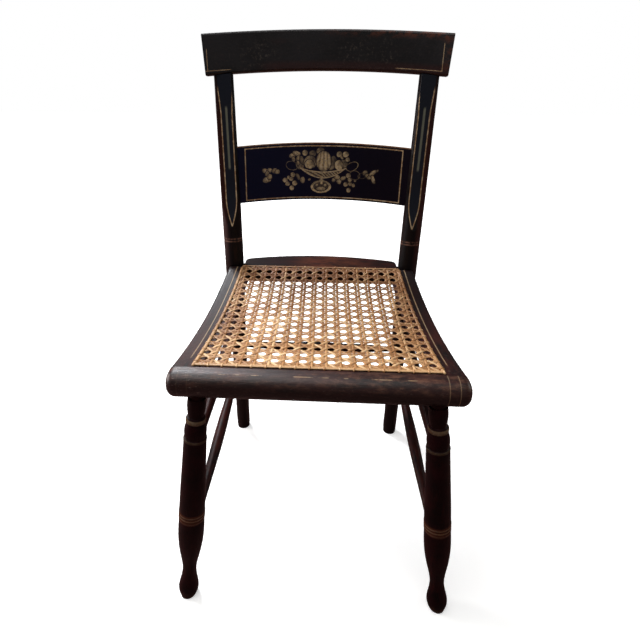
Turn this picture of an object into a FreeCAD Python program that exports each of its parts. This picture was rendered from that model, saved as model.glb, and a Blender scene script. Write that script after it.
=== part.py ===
import FreeCAD, Part
import math
import os

# A painted side chair with a caned seat, a rolled front rail, turned legs, a shaped slat
# and a bowed crest rail. Sizes are in millimetres. +X is to the viewer's right from the
# front, +Y to the back and +Z up. While the pieces are made, depth is counted back from
# the front of the rolled rail; at the end the whole chair is centred over the origin.

# Seat frame
seat_front_half_width = 202.0
seat_rear_half_width = 184.5
seat_front_height = 449.0
seat_rear_height = 446.0
saddle_drop = 15.0
rail_thickness = 26.0
rail_outer_round = 7.0
rail_inner_round = 2.0
front_rail_depth = 18.0
rear_rail_end_depth = 58.0
rear_rail_bow = 24.0
rear_rail_corner_radius = 12.0
roll_half_length = 204.5
roll_depth = 28.0
roll_height = 40.0
roll_end_round = 12.0
rail_tenon_diameter = 11.0
rail_tenon_length = 18.0
rail_tenon_rise = 6.5
seat_dowel_diameter = 8.0
seat_dowel_length = 36.0
roll_dowel_step = 5

# Cane
cane_pitch = 20.0
cane_row_count = 17
cane_front_half_width = 170.0
cane_rear_half_width = 155.0
cane_setback = 6.0
cane_thickness = 1.8
cane_margin = 3.5
cane_gap_width = 10.5
cane_gap_edge = 3.0
cane_hole_diameter = 5.0
cane_hole_inset = 11.0
binder_width = 6.0
binder_thickness = 1.2
cane_peg_diameter = 4.4
cane_peg_length = 15.0

# Back posts
post_half_spacing = 176.0
post_top_half_spacing = 180.5
post_foot_half_spacing = 183.5
post_behind_holes = 19.0
post_seat_diameter = 37.5
post_taper_share = 0.35
post_top_diameter = 34.0
bend_height = 452.0
rake_angle = 7.5
planed_face_setback = 9.8
planed_face_rise = 69.6
planed_face_run = 80.0
post_tenon_diameter = 11.0
post_tenon_length = 34.0

# Crest rail and slat
crest_end_height = 784.5
crest_face_height = 63.5
crest_arch = 12.0
crest_top_half_width = 212.0
crest_bottom_half_width = 208.5
crest_thickness = 19.0
crest_bow = 34.0
crest_edge_round = 3.5
crest_peg_diameter = 6.0
crest_peg_drop = 42.0
slat_end_height = 565.5
slat_face_height = 104.5
slat_top_arch = 8.0
slat_bottom_arch = 6.5
slat_thickness = 8.5
slat_bow = 28.0
slat_setback = 2.0
slat_housing_depth = 3.0
slat_tenon_length = 11.0
slat_tenon_shoulder = 10.0
slat_edge_round = 1.5
slat_pin_diameter = 3.5
slat_pin_length = 13.0

# Front legs
leg_top_half_spacing = 164.5
leg_foot_half_spacing = 215.0
leg_top_setback = 13.0
leg_foot_advance = 26.5
leg_diameter = 40.0
leg_tenon_diameter = 21.0
leg_tenon_length = 24.0

# Stretchers
upper_stretcher_front_height = 313.0
upper_stretcher_rear_height = 326.0
lower_stretcher_front_height = 132.0
lower_stretcher_rear_height = 203.0
rear_stretcher_height = 244.0
side_stretcher_diameter = 21.0
rear_stretcher_diameter = 24.0
stretcher_tenon_diameter = 12.0
stretcher_tip_setback = 3.0
stretcher_swell_start = 20.0

# Fits and overruns
fit_clearance = 0.1
seat_clearance = 0.15
overrun = 40.0

# Sizes that follow from those above
front_holes_y = roll_depth + cane_setback
rear_holes_y = front_holes_y + cane_row_count * cane_pitch
rear_rail_front_y = rear_holes_y - cane_hole_inset
post_y = rear_holes_y + post_behind_holes
post_front_y = post_y - post_seat_diameter / 2
roll_bottom_height = seat_front_height - roll_height
roll_dowel_spacing = roll_dowel_step * cane_pitch

# Turned outlines from the floor up, as shares of a height and of a greatest radius
front_leg_foot_shares = [
    (0.0, 0.62), (0.018, 0.75), (0.048, 0.84), (0.095, 0.71), (0.155, 0.575), (0.21, 0.67),
    (0.273, 0.87), (0.325, 0.985), (0.375, 1.03), (0.42, 1.02), (0.449, 1.0),
]
front_leg_rings_shares = [0.449, 0.4635, 0.478, 0.4925]
front_leg_ring_swell_share = 0.03
front_leg_shaft_shares = [(0.4925, 1.0), (0.592, 0.96), (0.70, 0.895), (0.826, 0.83)]
front_leg_upper_shares = [
    [(0.826, 0.83), (0.833, 0.845), (0.840, 0.76)],
    [(0.840, 0.76), (0.868, 0.80), (0.90, 0.66)],
    [(0.90, 0.66), (0.914, 0.72), (0.928, 0.58)],
    [(0.928, 0.58), (0.945, 0.62), (0.965, 0.655), (0.985, 0.65), (1.0, 0.63)],
]
back_leg_shares = [
    (0.0, 0.78), (0.03, 0.82), (0.10, 0.83), (0.22, 0.84), (0.50, 0.86), (0.75, 0.92), (0.90, 1.0),
]
side_stretcher_shares = [[
    (0.0, 0.0), (0.12, 0.2), (0.26, 0.55), (0.5, 1.0), (0.74, 0.55), (0.88, 0.2), (1.0, 0.0),
]]
rear_stretcher_shares = [
    [(0.0, 0.0), (0.15, 0.42), (0.30, 0.50), (0.325, 0.42)],
    [(0.325, 0.42), (0.340, 0.75), (0.355, 0.42)],
    [(0.355, 0.42), (0.42, 0.85), (0.50, 1.0), (0.58, 0.85), (0.645, 0.42)],
    [(0.645, 0.42), (0.660, 0.75), (0.675, 0.42)],
    [(0.675, 0.42), (0.70, 0.50), (0.85, 0.42), (1.0, 0.0)],
]


def vec(x, y, z):
    return FreeCAD.Vector(x, y, z)


def face_of(edges):
    return Part.Face(Part.Wire(Part.__sortEdges__(edges)))


def line(start, end):
    return Part.LineSegment(start, end).toShape()


def arc(start, middle, end):
    return Part.Arc(start, middle, end).toShape()


def curve(points):
    # A line for two points, an arc for three and a smooth curve for more
    if len(points) == 2:
        return line(*points)
    if len(points) == 3:
        return arc(*points)
    spline = Part.BSplineCurve()
    spline.interpolate(points)
    return spline.toShape()


def polygon(points):
    return Part.Face(Part.makePolygon(points + [points[0]]))


def edges_near(shape, test):
    # Edges whose middle passes the test
    chosen = []
    for edge in shape.Edges:
        middle = edge.valueAt((edge.FirstParameter + edge.LastParameter) / 2)
        if test(middle):
            chosen.append(edge)
    return chosen


def rod(start, end, diameter):
    direction = end.sub(start)
    return Part.makeCylinder(diameter / 2, direction.Length, start, direction)


def turned(start, end, stretches):
    # Spin an outline of (distance, radius) stretches about the line from start to end
    axis = end.sub(start)
    edges = []
    for stretch in stretches:
        edges.append(curve([vec(radius, 0, distance) for distance, radius in stretch]))
    first = stretches[0][0]
    last = stretches[-1][-1]
    edges.append(line(vec(0, 0, first[0]), vec(first[1], 0, first[0])))
    edges.append(line(vec(0, 0, last[0]), vec(last[1], 0, last[0])))
    edges.append(line(vec(0, 0, first[0]), vec(0, 0, last[0])))
    solid = face_of(edges).revolve(vec(0, 0, 0), vec(0, 0, 1), 360)
    solid.Placement = FreeCAD.Placement(start, FreeCAD.Rotation(vec(0, 0, 1), axis))
    return solid


def sized(stretches, length, core, swell):
    # Shares of a length and of a swell over a core radius, made real sizes
    result = []
    for stretch in stretches:
        result.append([(share * length, core + part * swell) for share, part in stretch])
    return result


def mirrored(shape):
    return shape.mirror(vec(0, 0, 0), vec(1, 0, 0))


# The seat frame

def hole_line_x(y):
    # Half width between the side rows of holes at a depth
    share = (y - front_holes_y) / (rear_holes_y - front_holes_y)
    return cane_front_half_width + (cane_rear_half_width - cane_front_half_width) * share


def outer_x(y):
    # Half width of the seat at a depth
    share = (y - roll_depth) / (post_y - roll_depth)
    return seat_front_half_width + (seat_rear_half_width - seat_front_half_width) * share


def saddle_height(y):
    # Height of the rails' top at a depth, along the same arc as the slab below
    start, middle, end = saddle_points(0)
    if y > end.y:
        return seat_rear_height
    circle = arc(start, middle, end).Curve
    return circle.Center.z - math.sqrt(circle.Radius ** 2 - (y - circle.Center.y) ** 2)


def saddle_points(offset):
    middle_y = (roll_depth + rear_rail_front_y) / 2
    chord_height = (seat_front_height + seat_rear_height) / 2
    return (
        vec(0, roll_depth, seat_front_height + offset),
        vec(0, middle_y, chord_height - saddle_drop + offset),
        vec(0, rear_rail_front_y, seat_rear_height + offset),
    )


def saddle_slab(lower, upper):
    # The space between two copies of the saddle line, as wide and deep as the chair
    back_y = post_y + post_seat_diameter + rear_rail_bow
    edges = []
    ends = []
    for offset in (lower, upper):
        start, middle, end = saddle_points(offset)
        back = vec(0, back_y, seat_rear_height + offset)
        edges.append(arc(start, middle, end))
        edges.append(line(end, back))
        ends.append((start, back))
    edges.append(line(ends[0][0], ends[1][0]))
    edges.append(line(ends[0][1], ends[1][1]))
    slab = face_of(edges)
    slab.translate(vec(-roll_half_length, 0, 0))
    return slab.extrude(vec(2 * roll_half_length, 0, 0))


def on_saddle(plan, lower, upper):
    # A plan outline carried up through the saddle slab
    highest = max(seat_front_height, seat_rear_height)
    prism = plan.extrude(vec(0, 0, highest + overrun))
    return saddle_slab(lower, upper).common(prism)


def cane_hole_places():
    # Places of the drilled holes, one list for each rail
    places = {"front": [], "rear": [], "left": [], "right": []}
    half_count = int(cane_front_half_width / cane_pitch + 1)
    for i in range(-half_count, half_count):
        x = (i + 0.5) * cane_pitch
        if abs(x) <= cane_front_half_width:
            places["front"].append((x, front_holes_y))
        if abs(x) <= cane_rear_half_width:
            places["rear"].append((x, rear_holes_y))
    for j in range(cane_row_count):
        y = front_holes_y + (j + 0.5) * cane_pitch
        places["left"].append((-hole_line_x(y), y))
        places["right"].append((hole_line_x(y), y))
    return places


def cane_holes():
    tools = []
    for row in cane_hole_places().values():
        for x, y in row:
            height = saddle_height(y)
            low = vec(x, y, height - rail_thickness - overrun)
            tools.append(rod(low, vec(x, y, height + overrun), cane_hole_diameter))
    return Part.makeCompound(tools)


def post_column(clearance):
    # Both posts where they pass the seat
    columns = []
    for side in (-1, 1):
        low = back_leg_point(side, seat_rear_height - rail_thickness - overrun)
        high = back_leg_point(side, bend_height)
        columns.append(rod(low, high, post_seat_diameter + 2 * clearance))
    return Part.makeCompound(columns)


def side_tenon(side, clearance):
    height = seat_rear_height - rail_thickness / 2 - rail_tenon_rise
    x = side * post_half_spacing
    start = vec(x, post_front_y - rail_tenon_length, height)
    end = vec(x, post_front_y + rail_tenon_length + clearance, height)
    return rod(start, end, rail_tenon_diameter + 2 * clearance)


def rear_tenon(side, clearance):
    height = seat_rear_height - rail_thickness / 2 + rail_tenon_rise
    inner = post_half_spacing - post_seat_diameter / 2
    start = vec(side * (inner - rail_tenon_length), post_y, height)
    end = vec(side * (inner + rail_tenon_length + clearance), post_y, height)
    return rod(start, end, rail_tenon_diameter + 2 * clearance)


def seat_dowel_ends():
    # Dowels that join the roll to the rails behind it
    ends = []
    side_x = (seat_front_half_width + hole_line_x(roll_depth)) / 2
    places = [-side_x, -roll_dowel_spacing, 0, roll_dowel_spacing, side_x]
    height = seat_front_height - rail_thickness / 2
    behind = {True: front_rail_depth - seat_dowel_diameter / 2, False: seat_dowel_length / 2}
    for x in places:
        reach = behind[abs(x) < side_x]
        start = vec(x, roll_depth - roll_depth / 2, height)
        ends.append((start, vec(x, roll_depth + reach, height)))
    return ends


def seat_dowels(clearance):
    dowels = []
    for start, end in seat_dowel_ends():
        along = end.sub(start).normalize() * clearance
        dowels.append(rod(start.sub(along), end.add(along), seat_dowel_diameter + 2 * clearance))
    return Part.makeCompound(dowels)


def seat_roll():
    top = seat_front_height
    middle = (top + roll_bottom_height) / 2
    radius = roll_height / 2
    edges = [
        line(vec(0, roll_depth, roll_bottom_height), vec(0, radius, roll_bottom_height)),
        arc(vec(0, radius, roll_bottom_height), vec(0, 0, middle), vec(0, radius, top)),
        line(vec(0, radius, top), vec(0, roll_depth, top)),
        line(vec(0, roll_depth, top), vec(0, roll_depth, roll_bottom_height)),
    ]
    section = face_of(edges)
    section.translate(vec(-roll_half_length, 0, 0))
    roll = section.extrude(vec(2 * roll_half_length, 0, 0))
    ends = edges_near(roll, lambda p: abs(p.x) > roll_half_length - roll_end_round
                      and p.y < (radius + roll_depth) / 2 + fit_clearance)
    roll = roll.makeFillet(roll_end_round, ends)
    for side in (-1, 1):
        roll = roll.cut(leg_tenon(side, fit_clearance))
    return roll.cut(seat_dowels(fit_clearance))


def seat_front_rail():
    back_y = roll_depth + front_rail_depth
    front_x = hole_line_x(roll_depth) - cane_hole_inset
    back_x = hole_line_x(back_y) - cane_hole_inset
    plan = polygon([
        vec(-front_x, roll_depth, 0), vec(front_x, roll_depth, 0),
        vec(back_x, back_y, 0), vec(-back_x, back_y, 0),
    ])
    rail = on_saddle(plan, -rail_thickness, 0)
    inner = edges_near(rail, lambda p: abs(p.y - back_y) < rail_inner_round
                       and abs(p.x) < back_x / 2)
    rail = rail.makeFillet(rail_inner_round, inner)
    return rail.cut(cane_holes()).cut(seat_dowels(fit_clearance))


def seat_side_rail(side):
    front_inner = hole_line_x(roll_depth) - cane_hole_inset
    rear_inner = hole_line_x(post_front_y) - cane_hole_inset
    plan = polygon([
        vec(front_inner, roll_depth, 0), vec(outer_x(roll_depth), roll_depth, 0),
        vec(outer_x(post_y), post_y, 0), vec(post_half_spacing, post_y, 0),
        vec(post_half_spacing, post_front_y, 0), vec(rear_inner, post_front_y, 0),
    ])
    rail = on_saddle(plan, -rail_thickness, 0)
    middle_y = (roll_depth + post_y) / 2
    outer = edges_near(rail, lambda p: p.x > outer_x(p.y) - rail_inner_round
                       and abs(p.y - roll_depth) > rail_outer_round
                       and abs(p.y - post_y) > rail_inner_round)
    rail = rail.makeFillet(rail_outer_round, outer)
    inner = edges_near(rail, lambda p: p.x < hole_line_x(p.y) - cane_hole_inset + rail_inner_round
                       and abs(p.y - middle_y) < middle_y / 2)
    rail = rail.makeFillet(rail_inner_round, inner)
    if side < 0:
        rail = mirrored(rail)
    rail = rail.cut(post_column(seat_clearance)).cut(cane_holes())
    pieces = sorted(rail.Solids, key=lambda solid: solid.Volume)
    tenon = side_tenon(side, 0).cut(post_free_side(side))
    return pieces[-1].fuse(tenon).cut(seat_dowels(fit_clearance)).removeSplitter()


def post_free_side(side):
    # Room beyond the far end of a tenon, so that it stops inside the post
    end = vec(side * post_half_spacing, post_front_y + rail_tenon_length, seat_rear_height)
    box = Part.makeBox(overrun, overrun, 2 * overrun)
    box.translate(end.sub(vec(overrun / 2, 0, overrun)))
    return box


def seat_rear_rail():
    half = post_half_spacing - post_seat_diameter / 2 - seat_clearance
    end_y = rear_rail_front_y + rear_rail_end_depth
    middle_y = end_y + rear_rail_bow
    side_x = hole_line_x(rear_rail_front_y) - cane_hole_inset
    rear_x = hole_line_x(post_front_y) - cane_hole_inset
    plan = face_of([
        line(vec(-side_x, rear_rail_front_y, 0), vec(side_x, rear_rail_front_y, 0)),
        line(vec(side_x, rear_rail_front_y, 0), vec(rear_x, post_front_y, 0)),
        line(vec(rear_x, post_front_y, 0), vec(half, post_front_y, 0)),
        line(vec(half, post_front_y, 0), vec(half, end_y, 0)),
        arc(vec(half, end_y, 0), vec(0, middle_y, 0), vec(-half, end_y, 0)),
        line(vec(-half, end_y, 0), vec(-half, post_front_y, 0)),
        line(vec(-half, post_front_y, 0), vec(-rear_x, post_front_y, 0)),
        line(vec(-rear_x, post_front_y, 0), vec(-side_x, rear_rail_front_y, 0)),
    ])
    rail = on_saddle(plan, -rail_thickness, 0)
    corners = edges_near(rail, lambda p: abs(p.y - end_y) < rail_inner_round
                         and abs(p.x) > half - rail_inner_round)
    rail = rail.makeFillet(rear_rail_corner_radius, corners)
    outer = edges_near(rail, lambda p: p.y > end_y and abs(p.x) < half / 2)
    rail = rail.makeFillet(rail_outer_round, outer)
    inner = edges_near(rail, lambda p: p.y < rear_rail_front_y + rail_inner_round
                       and abs(p.x) < half / 2)
    rail = rail.makeFillet(rail_inner_round, inner).cut(cane_holes())
    for side in (-1, 1):
        rail = rail.fuse(rear_tenon(side, 0))
    return rail.removeSplitter()


# The cane

def gap(x, y):
    # One eight-sided gap of the weave
    half = cane_gap_width / 2
    corner = half * math.tan(math.pi / 8)
    points = [
        (half, corner), (corner, half), (-corner, half), (-half, corner),
        (-half, -corner), (-corner, -half), (corner, -half), (half, -corner),
    ]
    points = [vec(x + dx, y + dy, 0) for dx, dy in points]
    return Part.makePolygon(points + [points[0]])


def cane_panel():
    front_y = front_holes_y - cane_margin
    rear_y = rear_holes_y + cane_margin
    front_x = hole_line_x(front_y) + cane_margin
    rear_x = hole_line_x(rear_y) + cane_margin
    corners = [
        vec(-front_x, front_y, 0), vec(front_x, front_y, 0),
        vec(rear_x, rear_y, 0), vec(-rear_x, rear_y, 0),
    ]
    wires = [Part.makePolygon(corners + [corners[0]])]
    half_count = int(cane_front_half_width / cane_pitch + 1)
    for j in range(1, cane_row_count):
        y = front_holes_y + j * cane_pitch
        for i in range(-half_count, half_count + 1):
            x = i * cane_pitch
            if abs(x) + cane_gap_width / 2 + cane_gap_edge <= hole_line_x(y):
                wires.append(gap(x, y))
    plan = Part.makeFace(wires, "Part::FaceMakerBullseye")
    return on_saddle(plan, 0, cane_thickness)


def binder(start, end):
    # A flat strip along a row of holes, on top of the cane
    along = end.sub(start).normalize()
    across = vec(-along.y, along.x, 0) * (binder_width / 2)
    plan = polygon([start.sub(across), end.sub(across), end.add(across), start.add(across)])
    low = cane_thickness + seat_clearance
    return on_saddle(plan, low, low + binder_thickness)


def side_binder(side):
    inset = binder_width / 2
    start_y = front_holes_y + inset
    end_y = rear_holes_y - inset
    start = vec(side * hole_line_x(start_y), start_y, 0)
    return binder(start, vec(side * hole_line_x(end_y), end_y, 0))


def cross_binder(y):
    reach = hole_line_x(y) + binder_width / 2
    return binder(vec(-reach, y, 0), vec(reach, y, 0))


def cane_pegs():
    pegs = []
    for row in cane_hole_places().values():
        for x, y in row:
            top = vec(x, y, saddle_height(y) - seat_clearance)
            pegs.append(rod(top.sub(vec(0, 0, cane_peg_length)), top, cane_peg_diameter))
    return Part.makeCompound(pegs)


# The back. Its pieces are drawn upright about the bend of the posts, then leaned back.

def lean(shape):
    shape = shape.copy()
    shape.rotate(vec(0, 0, 0), vec(1, 0, 0), -rake_angle)
    shape.translate(vec(0, post_y, bend_height))
    return shape


def along_post(height):
    # Distance up the leaning post at a height over the floor
    return (height - bend_height) / math.cos(math.radians(rake_angle))


def bowed_strip(half_width, bow, thickness, anchor_x, low, high):
    # A strip bent to an arc in plan, its middle over the posts' line at anchor_x
    radius = (half_width ** 2 + bow ** 2) / (2 * bow)
    sag = radius - math.sqrt(radius ** 2 - anchor_x ** 2)
    edges = []
    corners = []
    for shift in (-thickness / 2, thickness / 2):
        reach = radius + shift
        x = half_width * reach / radius
        middle_y = sag + shift
        end_y = middle_y - (reach - math.sqrt(reach ** 2 - x ** 2))
        edges.append(arc(vec(-x, end_y, low), vec(0, middle_y, low), vec(x, end_y, low)))
        corners.append((vec(-x, end_y, low), vec(x, end_y, low)))
    edges.append(line(corners[0][0], corners[1][0]))
    edges.append(line(corners[0][1], corners[1][1]))
    return face_of(edges).extrude(vec(0, 0, high - low))


def crest_outline():
    # The crest seen from the front, as a thick block
    low = along_post(crest_end_height)
    high = low + crest_face_height
    face = face_of([
        arc(vec(-crest_bottom_half_width, 0, low), vec(0, 0, low + crest_arch),
            vec(crest_bottom_half_width, 0, low)),
        line(vec(crest_bottom_half_width, 0, low), vec(crest_top_half_width, 0, high)),
        arc(vec(crest_top_half_width, 0, high), vec(0, 0, high + crest_arch),
            vec(-crest_top_half_width, 0, high)),
        line(vec(-crest_top_half_width, 0, high), vec(-crest_bottom_half_width, 0, low)),
    ])
    face.translate(vec(0, -2 * crest_bow, 0))
    return face.extrude(vec(0, 4 * crest_bow, 0))


def post_tenon(side, clearance):
    # The round tenon that stands up from a post into the crest
    shoulder = along_post(crest_end_height)
    start = vec(side * post_top_half_spacing, 0, shoulder - overrun / 2)
    end = vec(side * post_top_half_spacing, 0, shoulder + post_tenon_length + clearance)
    return rod(start, end, post_tenon_diameter + 2 * clearance)


def crest_peg(side, clearance):
    # A peg from the back of the crest through the tenon
    height = along_post(crest_end_height) + crest_face_height - crest_peg_drop
    x = side * post_top_half_spacing
    depth = crest_thickness / 2
    start = vec(x, -depth / 2, height)
    return rod(start, vec(x, depth + clearance, height), crest_peg_diameter + 2 * clearance)


def crest_rail():
    low = along_post(crest_end_height) - overrun
    high = low + crest_face_height + crest_arch + 2 * overrun
    reach = crest_top_half_width + overrun
    strip = bowed_strip(reach, bow_at(reach, crest_top_half_width, crest_bow),
                        crest_thickness, post_top_half_spacing, low, high)
    rail = strip.common(crest_outline())
    long_edges = edges_near(rail, lambda p: abs(p.x) < crest_thickness)
    rail = rail.makeFillet(crest_edge_round, long_edges)
    for side in (-1, 1):
        rail = rail.cut(post_tenon(side, fit_clearance)).cut(crest_peg(side, fit_clearance))
    return lean(rail)


def bow_at(reach, half_width, bow):
    # The bow that an arc with a given bow over half_width has over another reach
    radius = (half_width ** 2 + bow ** 2) / (2 * bow)
    return radius - math.sqrt(radius ** 2 - reach ** 2)


def slat_inner_x():
    # Half width between the posts at the middle of the slat
    middle = along_post(slat_end_height) + slat_face_height / 2
    return post_x(middle) - post_radius(middle)


def slat_solid(clearance):
    # Its full height is let a little into the posts and its tenons go deeper
    inner = slat_inner_x()
    reach = inner + slat_tenon_length + clearance
    low = along_post(slat_end_height) - clearance
    high = low + slat_face_height + 2 * clearance
    strip = bowed_strip(reach, bow_at(reach, inner, slat_bow), slat_thickness + 2 * clearance,
                        inner, low - overrun, high + overrun)
    strip.translate(vec(0, slat_setback, 0))
    shoulder_x = inner + slat_housing_depth + clearance
    tenon_low = low + slat_tenon_shoulder
    tenon_high = high - slat_tenon_shoulder
    outline = [
        line(vec(-reach, 0, tenon_low), vec(-shoulder_x, 0, tenon_low)),
        line(vec(-shoulder_x, 0, tenon_low), vec(-shoulder_x, 0, low)),
        arc(vec(-shoulder_x, 0, low), vec(0, 0, low + slat_bottom_arch), vec(shoulder_x, 0, low)),
        line(vec(shoulder_x, 0, low), vec(shoulder_x, 0, tenon_low)),
        line(vec(shoulder_x, 0, tenon_low), vec(reach, 0, tenon_low)),
        line(vec(reach, 0, tenon_low), vec(reach, 0, tenon_high)),
        line(vec(reach, 0, tenon_high), vec(shoulder_x, 0, tenon_high)),
        line(vec(shoulder_x, 0, tenon_high), vec(shoulder_x, 0, high)),
        arc(vec(shoulder_x, 0, high), vec(0, 0, high + slat_top_arch), vec(-shoulder_x, 0, high)),
        line(vec(-shoulder_x, 0, high), vec(-shoulder_x, 0, tenon_high)),
        line(vec(-shoulder_x, 0, tenon_high), vec(-reach, 0, tenon_high)),
        line(vec(-reach, 0, tenon_high), vec(-reach, 0, tenon_low)),
    ]
    face = face_of(outline)
    face.translate(vec(0, -2 * slat_bow, 0))
    return strip.common(face.extrude(vec(0, 4 * slat_bow, 0)))


def back_slat():
    slat = slat_solid(0)
    low = along_post(slat_end_height)
    high = low + slat_face_height
    long_edges = edges_near(slat, lambda p: abs(p.x) < slat_tenon_length
                            and (p.z < low + slat_bottom_arch + slat_edge_round or p.z > high))
    slat = slat.makeFillet(slat_edge_round, long_edges)
    return lean(slat.cut(slat_pin_group(fit_clearance)))


def slat_pin_group(clearance):
    pins = []
    low = along_post(slat_end_height)
    inset = (post_seat_diameter - slat_tenon_length) / 2
    for side in (-1, 1):
        for height in (low + slat_face_height / 4, low + slat_face_height * 3 / 4):
            x = side * (post_x(height) - inset)
            back = math.sqrt(post_radius(height) ** 2 - inset ** 2)
            start = vec(x, back - slat_pin_length - clearance, height)
            pins.append(rod(start, vec(x, back, height), slat_pin_diameter + 2 * clearance))
    return Part.makeCompound(pins)


def post_shoulder():
    # Distance up the leaning post to the top of its turned part
    return along_post(crest_end_height) + crest_arch


def post_x(height):
    # The posts spread a little towards the crest
    share = height / post_shoulder()
    return post_half_spacing + (post_top_half_spacing - post_half_spacing) * share


def post_radius(height):
    # Radius at a distance up the leaning post, straight at first and then tapering
    taper_start = post_shoulder() * post_taper_share
    share = max(0, (height - taper_start) / (post_shoulder() - taper_start))
    return (post_seat_diameter + (post_top_diameter - post_seat_diameter) * share) / 2


def leaning_post(side):
    # The post above its bend, round behind and planed flat in front
    shoulder = post_shoulder()
    x = side * post_half_spacing
    heights = (0, shoulder * post_taper_share, shoulder)
    outline = [(height, post_radius(height)) for height in heights]
    top = vec(side * post_top_half_spacing, 0, shoulder)
    body = turned(vec(x, 0, 0), top, [outline[:2], outline[1:]])
    begin = planed_face_rise
    flat = begin + planed_face_run
    surface = post_radius(begin)
    front = -surface - overrun
    half_depth = (surface + planed_face_setback) / 2
    plane = face_of([
        arc(vec(0, -surface, begin), vec(0, -half_depth, begin + planed_face_run / 3),
            vec(0, -planed_face_setback, flat)),
        line(vec(0, -planed_face_setback, flat), vec(0, -planed_face_setback, shoulder + overrun)),
        line(vec(0, -planed_face_setback, shoulder + overrun), vec(0, front, shoulder + overrun)),
        line(vec(0, front, shoulder + overrun), vec(0, front, begin)),
        line(vec(0, front, begin), vec(0, -surface, begin)),
    ])
    plane.translate(vec(x - overrun, 0, 0))
    body = body.cut(plane.extrude(vec(2 * overrun, 0, 0)))
    body = body.cut(crest_outline())
    body = body.fuse(post_tenon(side, 0))
    body = body.cut(slat_solid(fit_clearance)).cut(slat_pin_group(fit_clearance))
    return lean(body.cut(crest_peg(side, fit_clearance)))


def back_leg_point(side, height):
    # The back legs spread a little towards the floor
    share = height / bend_height
    x = post_foot_half_spacing + (post_half_spacing - post_foot_half_spacing) * share
    return vec(side * x, post_y, height)


def footed(leg, foot, top, diameter):
    # A leaning leg carried down past its foot and cut off level with the floor
    along = top.sub(foot).normalize()
    pad = rod(foot.sub(along * diameter), foot.add(along * fit_clearance), diameter)
    floor = Part.makeBox(2 * overrun, 2 * overrun, 2 * overrun)
    floor.translate(foot.sub(vec(overrun, overrun, 2 * overrun)))
    return leg.fuse(pad).cut(floor)


def back_post(side):
    foot = back_leg_point(side, 0)
    bend = back_leg_point(side, bend_height)
    length = bend.sub(foot).Length
    radius = post_seat_diameter / 2
    lower = [(share * length, part * radius) for share, part in back_leg_shares]
    leg = turned(foot, bend, [lower, [lower[-1], (length, radius)]])
    leg = footed(leg, foot, bend, post_seat_diameter * back_leg_shares[0][1])
    post = leg.fuse([Part.makeSphere(radius, bend), leaning_post(side)])
    post = post.cut([side_tenon(side, fit_clearance), rear_tenon(side, fit_clearance)])
    post = post.cut(stretcher_sockets())
    return post.removeSplitter()


# The front legs

def leg_axis_point(side, height):
    share = height / roll_bottom_height
    x = leg_foot_half_spacing + (leg_top_half_spacing - leg_foot_half_spacing) * share
    y = -leg_foot_advance + (leg_top_setback + leg_foot_advance) * share
    return vec(side * x, y, height)


def leg_tenon(side, clearance):
    top = leg_axis_point(side, roll_bottom_height)
    along = top.sub(leg_axis_point(side, 0)).normalize()
    start = top.sub(along * leg_tenon_length)
    end = top.add(along * (leg_tenon_length + clearance))
    return rod(start, end, leg_tenon_diameter + 2 * clearance)


def front_leg(side):
    foot = leg_axis_point(side, 0)
    top = leg_axis_point(side, roll_bottom_height)
    length = top.sub(foot).Length
    stretches = [front_leg_foot_shares]
    rings = front_leg_rings_shares
    ring_share = front_leg_shaft_shares[0][1]
    swell_share = ring_share + front_leg_ring_swell_share
    for low, high in zip(rings, rings[1:]):
        stretches.append([(low, ring_share), ((low + high) / 2, swell_share), (high, ring_share)])
    stretches.append(front_leg_shaft_shares)
    stretches.extend(front_leg_upper_shares)
    leg = turned(foot, top, sized(stretches, length, 0, leg_diameter / 2))
    leg = footed(leg, foot, top, leg_diameter * front_leg_foot_shares[0][1])
    return leg.fuse(leg_tenon(side, 0)).cut(stretcher_sockets()).removeSplitter()


# The stretchers

def stretcher_ends():
    ends = {"rear_stretcher": (back_leg_point(-1, rear_stretcher_height),
                               back_leg_point(1, rear_stretcher_height))}
    heights = {
        "upper_stretcher": (upper_stretcher_front_height, upper_stretcher_rear_height),
        "lower_stretcher": (lower_stretcher_front_height, lower_stretcher_rear_height),
    }
    for name, (front, rear) in heights.items():
        for side, word in ((-1, "left"), (1, "right")):
            ends[name + "_" + word] = (leg_axis_point(side, front), back_leg_point(side, rear))
    return ends


def stretcher(start, end, diameter, stretches):
    # A turned rail whose ends are its tenons
    along = end.sub(start).normalize()
    core = stretcher_tenon_diameter / 2
    first = start.add(along * stretcher_swell_start)
    last = end.sub(along * stretcher_swell_start)
    length = last.sub(first).Length
    body = turned(first, last, sized(stretches, length, core, diameter / 2 - core))
    low = start.add(along * stretcher_tip_setback)
    high = end.sub(along * stretcher_tip_setback)
    low_tenon = rod(low, first.add(along * stretcher_tip_setback), stretcher_tenon_diameter)
    high_tenon = rod(last.sub(along * stretcher_tip_setback), high, stretcher_tenon_diameter)
    return body.fuse([low_tenon, high_tenon]).removeSplitter()


def stretcher_sockets():
    # The holes in the legs for every stretcher end
    holes = []
    diameter = stretcher_tenon_diameter + 2 * fit_clearance
    for start, end in stretcher_ends().values():
        along = end.sub(start).normalize()
        tip = along * (stretcher_tip_setback - fit_clearance)
        reach = along * (post_seat_diameter + stretcher_swell_start)
        holes.append(rod(start.add(tip), start.add(reach), diameter))
        holes.append(rod(end.sub(reach), end.sub(tip), diameter))
    return Part.makeCompound(holes)


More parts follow.
